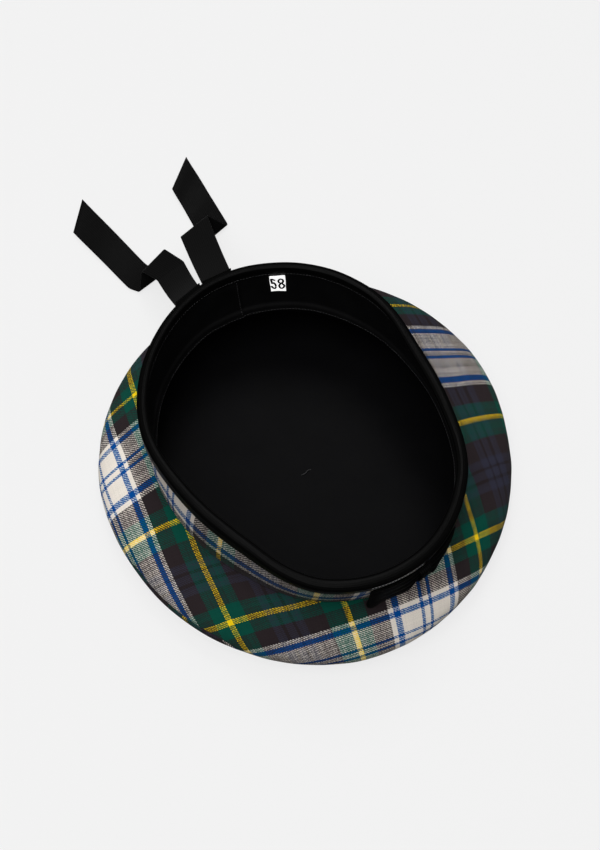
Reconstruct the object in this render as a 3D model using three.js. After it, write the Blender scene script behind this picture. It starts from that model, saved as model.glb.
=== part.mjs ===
// A tartan balmoral bonnet, lying on its crown with the opening up.
// Millimetres, +Z up. The origin is on the surface under the crown's middle, the front is -Y, the back +Y.
import * as THREE from "three";

// thicknesses
const CLOTH = 1.6; // tartan panels
const LINING = 1.0;
const SWEATBAND = 1.0;
const RIBBON = 0.9;
const LABEL = 0.5;
const GAP = 0.3; // left between neighbouring pieces

// crown
const FLAT_RADIUS = 98; // of the top panel that lies on the surface
const EDGE_HEIGHT = 14; // of the crown's widest line
const EDGE_LIFT = 9; // how far the under panel climbs before it leans in
const EDGE_SEAM = 0.08; // share of the under side taken by the turned edge of the top panel
const SEAM_HEIGHT = 33.5; // where the headband is sewn to the under panel
const SEAM_RUN = 16; // of the under panel's flat part beside that seam
const SEAM_RISE = 4.5;
const SEAM_LAP = 1.2; // of the under panel below the headband

// headband and rim
const BAND_HEIGHT = 46; // along its slope, binding and all
const BAND_BULGE = 1.0;
const BAND_START = 0.6;
const BINDING_OUTSIDE = 9;
const BINDING_INSIDE = 8;
const LINING_TURNUP = 8; // of the lining, up to the sweatband's lower edge

// bow on the front
const BOW_AT = -91; // degrees
const BOW_LENGTH = 64;
const BOW_MIDDLE = 20.5; // up the headband's slope
const BOW_TALL = 31;
const BOW_PINCHED = 20; // height in the middle, under the knot
const BOW_DEEP = 5.2; // of an open loop
const BOW_SHUT = 1.5; // of the loops under the knot
const KNOT_WIDE = 8;
const KNOT_LOOSE = 1.8;
const PINCH_REACH = 13; // how far from the middle the knot draws the loops in

// size label on the sweatband
const LABEL_AT = 65.7; // degrees
const LABEL_WIDE = 9.5;
const LABEL_FROM = 21; // up the headband's slope
const LABEL_TO = 35;

// tails, sewn to the outside of the binding at the back
const TAIL_WIDE = 19;
const TAIL_LEFT_AT = 96.6; // degrees
const TAIL_RIGHT_AT = 85.4;
const SEWN_FROM = 43.5; // up the headband's slope
const SEWN_TO = 37.5;
const FOLD_ROUND = 5; // of a tail's length on each side of a fold
const AROUND = 60; // sections round the bonnet
const ROLL_STEPS = 4; // from the flat to the crown's edge

// The outline from above: radius of the rim, of the headband's seam and of the crown's edge.
const STATIONS = [
  { rim: 77.6, seam: 84.4, edge: 125.9 }, // right side
  { rim: 90.1, seam: 87.5, edge: 126.5 },
  { rim: 100.9, seam: 94.7, edge: 125.2 },
  { rim: 105.9, seam: 98.4, edge: 125.4 }, // back
  { rim: 101.5, seam: 96.5, edge: 126.8 },
  { rim: 95.0, seam: 92.7, edge: 126.0 },
  { rim: 85.4, seam: 88.3, edge: 123.7 }, // left side
  { rim: 87.4, seam: 88.8, edge: 124.5 },
  { rim: 104.6, seam: 96.8, edge: 127.4 },
  { rim: 107.6, seam: 100.9, edge: 127.3 }, // front
  { rim: 96.7, seam: 95.1, edge: 124.5 },
  { rim: 80.6, seam: 87.5, edge: 123.8 },
];

// The tails, a row for each fold: the middle of the fold, its heading in plan, its length and its rise to the right.
const TAIL_LEFT = [
  { x: -2.6, y: 140.0, z: 41, heading: 33, across: 24, rise: -7 },
  { x: -1.2, y: 162.8, z: 23, heading: 47, across: 23.5, rise: -2 },
  { x: -11.2, y: 171.5, z: 2, heading: 47, across: 20.4, rise: 0 },
  { x: -17.2, y: 194.7, z: 1, heading: 45, across: 26, rise: 0 },
  { x: -21.4, y: 238.3, z: 1, heading: 46.5, across: 27.2, rise: 0 }, // slanting end
];
const TAIL_RIGHT = [
  { x: 32.7, y: 175.8, z: 22, heading: 10, across: 22.5, rise: 0 },
  { x: 45.2, y: 169.1, z: 4, heading: 15, across: 22.5, rise: 0 },
  { x: 49.8, y: 193.7, z: 1, heading: 23, across: 24, rise: 0 },
  { x: 53.6, y: 228.7, z: 1, heading: 37, across: 28.0, rise: 0 }, // slanting end
];

const radians = THREE.MathUtils.degToRad;
const across = (from, to, t) => THREE.MathUtils.lerp(from, to, t);

// A station's radius at any angle, on a smooth line through the stations.
function radiusAt(column, angle) {
  const many = STATIONS.length;
  const place = (angle / (2 * Math.PI)) * many;
  const first = Math.floor(place);
  const t = place - first;
  const [a, b, c, d] = [-1, 0, 1, 2].map((k) => STATIONS[(((first + k) % many) + many) % many][column]);
  return b + 0.5 * t * (c - a + t * (2 * a - 5 * b + 4 * c - d + t * (3 * (b - c) + d - a)));
}

// A point at a radius and height, at an angle round the bonnet.
const turned = (p, angle) => new THREE.Vector3(p.x * Math.cos(angle), p.x * Math.sin(angle), p.y);

// Joins equal loops of points into one closed skin, right round or capped at both ends, with its faces out.
function skin(loops, goesRound) {
  const many = loops[0].length;
  const triangles = [];
  const add = (a, b, c) => {
    if (a.distanceTo(b) > 1e-6 && b.distanceTo(c) > 1e-6 && c.distanceTo(a) > 1e-6) triangles.push(a, b, c);
  };
  const spans = goesRound ? loops.length : loops.length - 1;
  for (let i = 0; i < spans; i++) {
    const here = loops[i];
    const next = loops[(i + 1) % loops.length];
    for (let j = 0; j < many; j++) {
      const k = (j + 1) % many;
      // the shorter diagonal, so that walls that lie on one another bend along the same lines
      if (here[j].distanceTo(next[k]) < here[k].distanceTo(next[j])) {
        add(here[j], next[j], next[k]);
        add(here[j], next[k], here[k]);
      } else {
        add(here[j], next[j], here[k]);
        add(next[j], next[k], here[k]);
      }
    }
  }
  if (!goesRound) {
    const last = loops[loops.length - 1];
    for (let j = 1; j < many - 1; j++) {
      add(loops[0][0], loops[0][j], loops[0][j + 1]);
      add(last[0], last[j + 1], last[j]);
    }
  }
  let volume = 0;
  for (let i = 0; i < triangles.length; i += 3)
    volume += triangles[i].dot(triangles[i + 1].clone().cross(triangles[i + 2]));
  if (volume < 0) triangles.reverse();
  return new THREE.BufferGeometry().setFromPoints(triangles);
}

// The outline of a wall that lies between two depths behind a face line, in the plane of radius and height.
// It takes the line from one of its points to another, so that walls on one line meet squarely.
function wall(line, near, far, first = 0, last = line.length - 1) {
  const side = (a, b) => new THREE.Vector2(a.y - b.y, b.x - a.x).normalize();
  const at = (depth) =>
    line.map((p, i) => {
      const before = side(line[Math.max(i - 1, 0)], line[Math.max(i, 1)]);
      const after = side(line[Math.min(i, line.length - 2)], line[Math.min(i + 1, line.length - 1)]);
      const middle = before.clone().add(after).normalize();
      return p.clone().addScaledVector(middle, depth / Math.max(middle.dot(before), 0.5));
    });
  return [...at(near).slice(first, last + 1), ...at(far).slice(first, last + 1).reverse()];
}

// A piece that goes right round the bonnet, from its wall's outline at each angle.
function round(outlineAt) {
  const loops = [];
  for (let i = 0; i < AROUND; i++) {
    const angle = (i / AROUND) * 2 * Math.PI;
    loops.push(outlineAt(angle).map((p) => turned(p, angle)));
  }
  return skin(loops, true);
}

// The crown's face line: flat on the surface, rolled up to the edge, and back in to the headband's seam.
function underside(angle) {
  const edge = radiusAt("edge", angle);
  const seam = radiusAt("seam", angle) - SEAM_LAP;
  return new THREE.CubicBezierCurve(
    new THREE.Vector2(edge, EDGE_HEIGHT),
    new THREE.Vector2(edge, EDGE_HEIGHT + EDGE_LIFT),
    new THREE.Vector2(seam + SEAM_RUN, SEAM_HEIGHT - SEAM_RISE),
    new THREE.Vector2(seam, SEAM_HEIGHT),
  );
}
function rolled(angle, steps) {
  const edge = radiusAt("edge", angle);
  const line = [new THREE.Vector2(0, 0)];
  for (let i = 0; i <= steps; i++) {
    const t = ((i / steps) * Math.PI) / 2;
    line.push(
      new THREE.Vector2(across(FLAT_RADIUS, edge, Math.sin(t)), EDGE_HEIGHT * (1 - Math.cos(t))),
    );
  }
  return line;
}
function stretch(curve, from, to, steps) {
  return Array.from({ length: steps + 1 }, (_, i) => curve.getPoint(across(from, to, i / steps)));
}
function crownLine(angle) {
  const curve = underside(angle);
  const past = EDGE_SEAM + (2 * GAP) / curve.getLength();
  return [
    ...rolled(angle, ROLL_STEPS),
    curve.getPoint(EDGE_SEAM),
    ...stretch(curve, past, past + EDGE_SEAM, 1),
    ...stretch(curve, 3.5 * EDGE_SEAM, 1, 4),
  ];
}

// A point on the headband's outer face, a height up its slope and a depth behind it.
function onBand(angle, height, depth) {
  const foot = new THREE.Vector2(radiusAt("seam", angle), SEAM_HEIGHT);
  const lean = radiusAt("rim", angle) - RIBBON - GAP - foot.x;
  const slope = new THREE.Vector2(lean, Math.sqrt(BAND_HEIGHT ** 2 - lean ** 2)).normalize();
  const inward = new THREE.Vector2(-slope.y, slope.x);
  const bulge = BAND_BULGE * Math.sin((Math.PI * height) / BAND_HEIGHT);
  return foot.addScaledVector(slope, height).addScaledVector(inward, depth - bulge);
}
const bandTop = BAND_HEIGHT - (CLOTH + SWEATBAND + 3 * GAP + 2 * RIBBON) / 2;
const bandLine = (angle) =>
  [BAND_START, LINING_TURNUP + GAP, (LINING_TURNUP + bandTop) / 2, bandTop].map((h) => onBand(angle, h, 0));

// A ribbon from the line of its middle and the reach to its right edge at each point.
function ribbon(middles, reaches, thick, goesRound) {
  const many = middles.length;
  const loops = middles.map((p, i) => {
    const next = middles[goesRound ? (i + 1) % many : Math.min(i + 1, many - 1)];
    const last = middles[goesRound ? (i + many - 1) % many : Math.max(i - 1, 0)];
    const out = next.clone().sub(last).cross(reaches[i]).setLength(thick / 2);
    return [
      p.clone().sub(reaches[i]).sub(out),
      p.clone().add(reaches[i]).sub(out),
      p.clone().add(reaches[i]).add(out),
      p.clone().sub(reaches[i]).add(out),
    ];
  });
  return skin(loops, goesRound);
}

// A tail: sewn to the binding, then straight between its folds, with each fold rounded.
function tail(at, rows) {
  const angle = radians(at);
  const half = TAIL_WIDE / 2 / radiusAt("rim", angle);
  const seat = (height, side) =>
    turned(onBand(angle + side * half, height, -1.5 * RIBBON - 2 * GAP), angle + side * half);
  const sewn = [SEWN_FROM, SEWN_TO];
  const middles = [
    ...sewn.map((h) => seat(h, 0)),
    ...rows.map((r) => new THREE.Vector3(r.x, r.y, r.z)),
  ];
  const reaches = [
    ...sewn.map((h) => seat(h, -1).sub(seat(h, 1)).divideScalar(2)),
    ...rows.map((r) => {
      const level = Math.sqrt(r.across ** 2 - r.rise ** 2);
      const heading = radians(r.heading);
      return new THREE.Vector3(level * Math.cos(heading), level * Math.sin(heading), r.rise).divideScalar(2);
    }),
  ];
  const line = [middles[0]];
  const edge = [reaches[0]];
  for (let i = 1; i < middles.length - 1; i++) {
    const before = Math.min(FOLD_ROUND / middles[i].distanceTo(middles[i - 1]), 0.45);
    const after = Math.min(FOLD_ROUND / middles[i].distanceTo(middles[i + 1]), 0.45);
    const bent = (v) =>
      new THREE.QuadraticBezierCurve3(
        v[i].clone().lerp(v[i - 1], before),
        v[i],
        v[i].clone().lerp(v[i + 1], after),
      ).getPoints(5);
    line.push(...bent(middles));
    edge.push(...bent(reaches));
  }
  line.push(middles[middles.length - 1]);
  edge.push(reaches[reaches.length - 1]);
  return ribbon(line, edge, RIBBON, false);
}

// The bow's place on the front of the headband: along it, up its slope and out from it.
const bowRadius = radiusAt("rim", radians(BOW_AT));
const onFront = (along, height, out) => {
  const angle = radians(BOW_AT) + along / bowRadius;
  return turned(onBand(angle, height, -out), angle);
};
const blunt = (v) => Math.sign(v) * Math.abs(v) ** 0.6;
const pinch = (along) => Math.exp(-((along / PINCH_REACH) ** 2));
const bowBack = (along) => GAP + RIBBON / 2 + pinch(along) * (RIBBON + GAP + KNOT_LOOSE / 2);

// The two loops are one ribbon, closed on itself and pinched in the middle.
function bowLoops() {
  const steps = 40;
  const middles = [];
  const reaches = [];
  for (let i = 0; i < steps; i++) {
    const turn = (i / steps) * 2 * Math.PI;
    const along = (BOW_LENGTH / 2) * blunt(Math.cos(turn));
    const deep = across(BOW_DEEP, BOW_SHUT, pinch(along)) - RIBBON;
    const out = bowBack(along) + (deep * (1 + blunt(Math.sin(turn)))) / 2;
    const tall = across(BOW_TALL, BOW_PINCHED, pinch(along));
    const low = onFront(along, BOW_MIDDLE - tall / 2, out);
    const high = onFront(along, BOW_MIDDLE + tall / 2, out);
    middles.push(low.clone().add(high).divideScalar(2));
    reaches.push(high.sub(low).divideScalar(2));
  }
  return ribbon(middles, reaches, RIBBON, true);
}

// The knot is a short ribbon wrapped round the loops' middle.
function bowKnot() {
  const steps = 20;
  const middles = [];
  const reaches = [];
  const outer = bowBack(0) + BOW_SHUT + KNOT_LOOSE;
  const inner = GAP + RIBBON / 2;
  const tall = BOW_PINCHED / 2 + GAP + RIBBON + KNOT_LOOSE;
  for (let i = 0; i < steps; i++) {
    const turn = (i / steps) * 2 * Math.PI;
    const height = BOW_MIDDLE + tall * blunt(Math.cos(turn));
    const out = across(inner, outer, (1 + blunt(Math.sin(turn))) / 2);
    const left = onFront(-KNOT_WIDE / 2, height, out);
    const right = onFront(KNOT_WIDE / 2, height, out);
    middles.push(left.clone().add(right).divideScalar(2));
    reaches.push(right.sub(left).divideScalar(2));
  }
  return ribbon(middles, reaches, RIBBON, true);
}

// The label lies on the sweatband's inner face.
function sizeLabel() {
  const depth = CLOTH + GAP + SWEATBAND + 1.5 * GAP + LABEL / 2;
  const half = LABEL_WIDE / 2 / radiusAt("rim", radians(LABEL_AT));
  const edge = (height, side) => {
    const angle = radians(LABEL_AT) + side * half;
    return turned(onBand(angle, height, depth), angle);
  };
  const heights = [0, 0.5, 1].map((t) => across(LABEL_FROM, LABEL_TO, t));
  const middles = heights.map((h) => edge(h, -1).lerp(edge(h, 1), 0.5));
  const reaches = heights.map((h) => edge(h, 1).sub(edge(h, -1)).divideScalar(2));
  return ribbon(middles, reaches, LABEL, false);
}

// The binding is folded over the headband and the sweatband: up the outside, over the rim and down the inside.
function bindingLine(angle) {
  const outside = -GAP - RIBBON;
  const inside = CLOTH + GAP + SWEATBAND + GAP + RIBBON;
  const bend = (inside - outside) / 2;
  const line = [onBand(angle, BAND_HEIGHT - BINDING_OUTSIDE, outside)];
  const steps = 6;
  for (let i = 0; i <= steps; i++) {
    const turn = (i / steps) * Math.PI;
    line.push(onBand(angle, BAND_HEIGHT - bend + bend * Math.sin(turn), outside + bend * (1 - Math.cos(turn))));
  }
  line.push(onBand(angle, BAND_HEIGHT - BINDING_INSIDE, inside));
  return line;
}

const inLining = CLOTH + GAP;

const pieces = {
  crown_top: {
    color: "#24483f",
    geometry: round((angle) => wall(crownLine(angle), 0, CLOTH, 0, ROLL_STEPS + 2)),
  },
  crown_under: {
    color: "#24483f",
    geometry: round((angle) => wall(crownLine(angle), 0, CLOTH, ROLL_STEPS + 3)),
  },
  headband: {
    color: "#2c4a52",
    geometry: round((angle) => wall(bandLine(angle), 0, CLOTH)),
  },
  rim_binding: {
    color: "#101012",
    geometry: round((angle) => wall(bindingLine(angle), 0, RIBBON)),
  },
  sweatband: {
    color: "#151517",
    geometry: round((angle) => wall(bandLine(angle), inLining, inLining + SWEATBAND, 1)),
  },
  crown_lining: {
    color: "#0c0c0d",
    geometry: round((angle) =>
      wall(
        [
          ...rolled(angle, 2),
          ...stretch(underside(angle), 0.3, 1, 3),
          onBand(angle, LINING_TURNUP - 3 * GAP, 0),
        ],
        inLining,
        inLining + LINING,
      ),
    ),
  },
  bow_loops: { color: "#101012", geometry: bowLoops() },
  bow_knot: { color: "#101012", geometry: bowKnot() },
  tail_left: { color: "#101012", geometry: tail(TAIL_LEFT_AT, TAIL_LEFT) },
  tail_right: { color: "#101012", geometry: tail(TAIL_RIGHT_AT, TAIL_RIGHT) },
  size_label: { color: "#f2f0ea", geometry: sizeLabel() },
};

const bonnet = new THREE.Group();
bonnet.name = "balmoral_bonnet";
for (const [name, { color, geometry }] of Object.entries(pieces)) {
  const mesh = new THREE.Mesh(geometry, new THREE.MeshStandardMaterial({ color, roughness: 0.9 }));
  mesh.name = name;
  bonnet.add(mesh);
}

export default bonnet;
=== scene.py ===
import math

import bpy
import mathutils
import numpy as np
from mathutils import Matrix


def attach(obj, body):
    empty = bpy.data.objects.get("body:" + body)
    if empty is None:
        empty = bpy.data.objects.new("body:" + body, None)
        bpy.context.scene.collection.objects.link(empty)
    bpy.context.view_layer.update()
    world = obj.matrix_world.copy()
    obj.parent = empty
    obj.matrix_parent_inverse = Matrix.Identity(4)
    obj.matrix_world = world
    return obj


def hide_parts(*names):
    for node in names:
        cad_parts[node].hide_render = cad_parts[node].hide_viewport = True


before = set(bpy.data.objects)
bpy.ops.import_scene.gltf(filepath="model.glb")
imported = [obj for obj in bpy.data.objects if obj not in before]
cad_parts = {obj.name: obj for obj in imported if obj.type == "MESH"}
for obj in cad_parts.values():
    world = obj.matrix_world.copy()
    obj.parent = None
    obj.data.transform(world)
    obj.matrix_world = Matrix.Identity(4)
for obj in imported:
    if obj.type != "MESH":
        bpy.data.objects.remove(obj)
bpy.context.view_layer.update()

# Camera. The bonnet lies on its crown and is looked at from its front left, from well above,
# so that the eye goes over the under side of the crown and down into the opening.
MM = 0.001
bpy.ops.object.select_all(action="DESELECT")
bpy.ops.object.camera_add(
    location=(-187.3 * MM, -259.6 * MM, 751.8 * MM),
    rotation=(math.radians(24.92), 0, math.radians(-35)),
)
camera = bpy.context.object
camera.name = "camera"
camera.data.sensor_fit = "HORIZONTAL"
camera.data.sensor_width = 36
camera.data.lens = 79.47
bpy.context.scene.camera = camera

# Table and light. A sheet of matt pale card under a wide soft box that hangs over its left side,
# with a weaker one behind on the right, as in a small studio. The card glows by itself, so that
# the shadow on it stays faint, but it throws none of its own light up at the bonnet.
TABLE_SIDE = 8  # m
CARD, CARD_GLOW = "#EFEFEF", 0.89
CARD_SHADE = "#5A5A5A"  # what it gives back of the lamps' light


def linear(colour):
    """A hex colour as the linear numbers that a shader takes."""
    shares = [int(colour[k : k + 2], 16) / 255 for k in (1, 3, 5)]
    return [s / 12.92 if s <= 0.04045 else ((s + 0.055) / 1.055) ** 2.4 for s in shares] + [1.0]


def add(tree, kind, links=None, **settings):
    """Adds a node with its settings; links gives its inputs a value, a node or a node's output."""
    made = tree.nodes.new(kind)
    for name, value in settings.items():
        setattr(made, name, value)
    for socket, value in (links or {}).items():
        if isinstance(value, bpy.types.Node):
            value = value.outputs[0]
        if isinstance(value, bpy.types.NodeSocket):
            tree.links.new(value, made.inputs[socket])
        else:
            made.inputs[socket].default_value = value
    return made


def new_finish(name):
    """An empty material by that name, with its tree and its shader."""
    finish = bpy.data.materials.new(name)
    finish.use_nodes = True
    return finish, finish.node_tree, finish.node_tree.nodes["Principled BSDF"]


bpy.ops.object.select_all(action="DESELECT")
bpy.ops.mesh.primitive_plane_add(size=TABLE_SIDE, location=(0, 0, -0.1 * MM))
table = bpy.context.object
table.name = "table"
card, tree, shader = new_finish("matt_card")
shader.inputs["Base Color"].default_value = linear(CARD_SHADE)
shader.inputs["Roughness"].default_value = 1.0
shader.inputs["Specular IOR Level"].default_value = 0.0
shader.inputs["Emission Color"].default_value = linear(CARD)
shader.inputs["Emission Strength"].default_value = CARD_GLOW
table.data.materials.append(card)
table.visible_diffuse = False
table.visible_glossy = False

# place and side in metres, power in watts
for name, place, side, power in (
    ("key_light", (-0.43, -0.1, 1.65), 1.3, 22.6),
    ("back_light", (0.5, 0.65, 1.5), 0.6, 10),
):
    bpy.ops.object.light_add(type="AREA", location=place)
    lamp = bpy.context.object
    lamp.name = name
    lamp.data.size = side
    lamp.data.energy = power
    lamp.rotation_euler = (-lamp.location).to_track_quat("-Z", "Y").to_euler()

# the room gives a little light from above and hardly any from below,
# and the eye sees pale card behind the table
ROOM, ROOM_BELOW = 0.3, 0.018
ROOM_TINT, CARD_SEEN = "#F2F2F2", 0.88
world = bpy.context.scene.world or bpy.data.worlds.new("studio")
bpy.context.scene.world = world
world.use_nodes = True
tree = world.node_tree
toward = add(tree, "ShaderNodeTexCoord")
upward = add(tree, "ShaderNodeSeparateXYZ", {0: toward.outputs["Generated"]})
horizon = {"Value": upward.outputs[2], "From Min": -0.1, "From Max": 0.15}
lit = add(tree, "ShaderNodeMapRange", {**horizon, "To Min": ROOM_BELOW, "To Max": ROOM})
eye = add(tree, "ShaderNodeLightPath").outputs["Is Camera Ray"]
seen = add(tree, "ShaderNodeMix", {0: eye, 2: lit, 3: CARD_SEEN}, data_type="FLOAT")
room = tree.nodes["Background"]
room.inputs["Color"].default_value = linear(ROOM_TINT)
tree.links.new(seen.outputs[0], room.inputs["Strength"])
bpy.context.scene.view_settings.view_transform = "Standard"

# Crown top. The round top panel, a disc of tartan wool twill that lies on the table.
# Steam and a block turn its edge up, and there it is sewn to the under panel, edges inside.
# From here on sizes are in mm, and a depth is measured inwards from a piece's face.
CLOTH_THICK = 1.6
CUT_ROUND = 0.5  # how far the cloth's cut edges are rounded off
FLAT_RADIUS = 98  # of what lies flat
EDGE_HEIGHT = 14
EDGE_LIFT = 9  # how far the edge stands up before it turns in
SEAM_HEIGHT = 33.5
SEAM_LAP = 1.2  # how far the under panel goes in under the headband
SEAM_EASE, SEAM_DIP = 16, 4.5  # how far out and how much lower the cloth turns towards the seam
AROUND = 300
RIM, SEAM, EDGE = 0, 1, 2
# the outline from above: radius of the rim, of the headband's seam and of the crown's edge,
# every 30 degrees from the right side through the back
OUTLINE = np.array(
    [
        (77.6, 84.4, 125.9),
        (90.1, 87.5, 126.5),
        (100.9, 94.7, 125.2),
        (105.9, 98.4, 125.4),
        (101.5, 96.5, 126.8),
        (95.0, 92.7, 126.0),
        (85.4, 88.3, 123.7),
        (87.4, 88.8, 124.5),
        (104.6, 96.8, 127.4),
        (107.6, 100.9, 127.3),
        (96.7, 95.1, 124.5),
        (80.6, 87.5, 123.8),
    ]
)


def through(a, b, c, d, t):
    """A smooth curve from b to c, with a before and d after them, at share t of the way."""
    return b + t / 2 * (c - a + t * (2 * a - 5 * b + 4 * c - d + t * (3 * (b - c) + d - a)))


def radius(line, angle):
    """The radius of the rim, the seam or the edge at angles round the bonnet."""
    place = np.asarray(angle) / math.tau * len(OUTLINE)
    first = np.floor(place).astype(int)
    nearest = (OUTLINE[(first + k) % len(OUTLINE), line] for k in (-1, 0, 1, 2))
    return through(*nearest, place - first)


def turned(points, angle):
    """Points given by radius and height, a row for each angle, turned to their angles."""
    out, up = points[..., 0], points[..., 1]
    angle = np.asarray(angle)[:, None]
    return np.stack([out * np.cos(angle), out * np.sin(angle), up], axis=-1)


def under_side(angle, share):
    """The crown from its edge, share 0, in to the headband's seam, share 1, as radius and height."""
    edge, seam = radius(EDGE, angle)[:, None], radius(SEAM, angle)[:, None] - SEAM_LAP
    t = np.asarray(share)[None, :]
    weights = ((1 - t) ** 3, 3 * t * (1 - t) ** 2, 3 * t * t * (1 - t), t**3)
    radii = (edge, edge, seam + SEAM_EASE, seam)
    levels = (EDGE_HEIGHT, EDGE_HEIGHT + EDGE_LIFT, SEAM_HEIGHT - SEAM_DIP, SEAM_HEIGHT)
    out = sum(w * r for w, r in zip(weights, radii))
    up = sum(w * z for w, z in zip(weights, levels))
    return np.stack([out, up + 0 * out], axis=-1)


def rolled_edge(angle, share):
    """The crown from the flat, share 0, up to its edge, share 1, as radius and height."""
    turn = np.asarray(share)[None, :] * math.pi / 2
    edge = radius(EDGE, angle)[:, None]
    out = FLAT_RADIUS + (edge - FLAT_RADIUS) * np.sin(turn)
    return np.stack([out, EDGE_HEIGHT * (1 - np.cos(turn)) + 0 * out], axis=-1)


def spread(lines, shares, start=0, end=None):
    """Points at those shares of each line, or of its stretch from start to end,
    and their distances along it."""
    runs = np.cumsum(np.linalg.norm(np.diff(lines, axis=1, prepend=lines[:, :1]), axis=2), axis=1)
    end = runs[:, -1] if end is None else end
    far = (start + 0 * end)[:, None] + np.outer(end - start, shares)
    points = [[np.interp(f, r, line[:, k]) for f, r, line in zip(far, runs, lines)] for k in (0, 1)]
    return np.stack(points, axis=-1), far


def eased(share):
    """Goes from 0 to 1 with soft ends."""
    share = np.clip(share, 0, 1)
    return share * share * (3 - 2 * share)


def waver(angle, waves):
    """A slow unevenness round the bonnet: each wave has a count, a start and a size."""
    return sum(size * np.sin(count * angle + start) for count, start, size in waves)


def lay(name, places, flat, closed=True):
    """Cuts a flat sheet, lays its points in their places and keeps the flat cloth's own measure
    as its UV map. places is a grid of points, columns along the sheet and rows across it, and flat
    the same points in the cut cloth. A closed sheet is joined where its ends meet."""
    columns, rows = places.shape[0] - 1, places.shape[1] - 1
    bpy.ops.object.select_all(action="DESELECT")
    bpy.ops.mesh.primitive_grid_add(x_subdivisions=columns, y_subdivisions=rows, size=1)
    sheet = bpy.context.object
    sheet.name = name
    sheet.data.name = name
    points = np.empty(len(sheet.data.vertices) * 3)
    sheet.data.vertices.foreach_get("co", points)
    grid = np.rint((points.reshape(-1, 3)[:, :2] + 0.5) * (columns, rows)).astype(int)
    sheet.data.vertices.foreach_set("co", (places[grid[:, 0], grid[:, 1]] * MM).ravel())
    corners = np.empty(len(sheet.data.loops), dtype=np.int32)
    sheet.data.loops.foreach_get("vertex_index", corners)
    on_cloth = flat[grid[:, 0], grid[:, 1]] * MM
    sheet.data.uv_layers.active.data.foreach_set("uv", on_cloth[corners].ravel())
    if closed:
        bpy.ops.object.mode_set(mode="EDIT")
        bpy.ops.mesh.select_all(action="SELECT")
        bpy.ops.mesh.remove_doubles(threshold=0.001 * MM)
        bpy.ops.object.mode_set(mode="OBJECT")
    sheet.data.update()
    return sheet


def thicken(sheet, thick, round_off):
    """Gives a laid sheet its thickness behind its face, and rounds its cut edges."""
    bpy.ops.object.select_all(action="DESELECT")
    sheet.select_set(True)
    bpy.context.view_layer.objects.active = sheet
    wall = sheet.modifiers.new("thickness", "SOLIDIFY")
    wall.thickness = thick * MM
    wall.offset = -1
    bpy.ops.object.modifier_apply(modifier=wall.name)
    edges = sheet.modifiers.new("edges", "BEVEL")
    edges.width = round_off * MM
    edges.segments = 2
    edges.limit_method = "ANGLE"
    edges.angle_limit = math.radians(55)
    bpy.ops.object.modifier_apply(modifier=edges.name)
    bpy.ops.object.shade_smooth_by_angle(angle=math.radians(60))


angles = np.linspace(0, math.tau, AROUND + 1)
ROLL_ROWS = 40
line = np.concatenate(
    [
        np.zeros((AROUND + 1, 1, 2)),
        rolled_edge(angles, np.linspace(0, 1, ROLL_ROWS)),
        under_side(angles, np.linspace(0.015, 1, 66)),
    ],
    axis=1,
)
# the two panels meet a little under the crown's widest line,
# but at the left, between these degrees, the top one rolls up over it
UNDER_WIDEST, ROLL_UP = 4.5, 7.9
ROLL_FROM, ROLL_TO = 170, 223
widest = np.linalg.norm(np.diff(line[:, : ROLL_ROWS + 1], axis=1), axis=2).sum(axis=1)
degrees = np.degrees(angles)
rolled_up = eased((degrees - ROLL_FROM) / 12) - eased((degrees - ROLL_TO + 13) / 13)
meet = widest - UNDER_WIDEST + ROLL_UP * rolled_up
# the rows lie closer where the edge turns up, and the steamed edge isn't quite even
shares = np.concatenate([np.linspace(0, 0.7, 20), np.linspace(0.715, 1, 26)])
face, far = spread(line, shares, 0, meet)
uneven_edge = waver(angles, ((3, 0.6, 0.3), (7, 2.0, 0.2), (19, 1.1, 0.1)))[:, None]
face[..., 0] += uneven_edge * np.clip((shares - 0.76) / 0.2, 0, 1) ** 2
# how the disc lay on the stripes when it was cut: turned, and moved along and across them
TOP_TURN = math.radians(75)
TOP_ALONG, TOP_ACROSS = 120.5, 126
lie = angles[:, None] - TOP_TURN
flat = np.stack([far * np.cos(lie) + TOP_ALONG, far * np.sin(lie) + TOP_ACROSS], axis=-1)
crown_top = lay("crown_top_panel", turned(face, angles), flat)
thicken(crown_top, CLOTH_THICK, CUT_ROUND)

# Worsted wool in a 2/2 twill: matt, with a soft bloom at grazing angles and fine diagonal lines.
# The stripes run from the white pivot to the navy one and back; where two colours cross,
# their threads mix.
HALF_SETT = 76.5
THREAD = 0.43  # from thread to thread
WANDER, DRIFT = 35.7, 1.6  # how far apart and how much the threads wander
WHITE, BLUE, BLACK = "#EBE3D8", "#004690", "#292224"
GREEN, YELLOW, NAVY, LINE = "#05463A", "#F5D016", "#2D2D3B", "#231E21"
STRIPES = [
    (0, WHITE),
    (1.55, BLUE),
    (3.75, WHITE),
    (15.9, BLUE),
    (20.1, WHITE),
    (23.1, BLACK),
    (34.1, GREEN),
    (42.3, YELLOW),
    (45.7, GREEN),
    (55.4, BLACK),
    (66.7, NAVY),
    (72.2, LINE),
    (74.0, NAVY),
]
tartan, tree, shader = new_finish("tartan_wool_twill")
cloth = add(tree, "ShaderNodeUVMap")
slowly = {"Vector": cloth, "Scale": 1 / (WANDER * MM), "Detail": 2.0}
wander = add(tree, "ShaderNodeTexNoise", slowly, noise_dimensions="2D").outputs["Color"]
shift = add(tree, "ShaderNodeVectorMath", {0: wander, 1: (0.5, 0.5, 0.5)}, operation="SUBTRACT")
drift = (DRIFT * MM,) * 3
moved = add(tree, "ShaderNodeVectorMath", {0: shift, 1: drift, 2: cloth}, operation="MULTIPLY_ADD")
counted = add(tree, "ShaderNodeVectorMath", {0: moved, "Scale": 1 / (THREAD * MM)}, operation="SCALE")
split = add(tree, "ShaderNodeSeparateXYZ", {0: counted})
yarns = []
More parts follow.
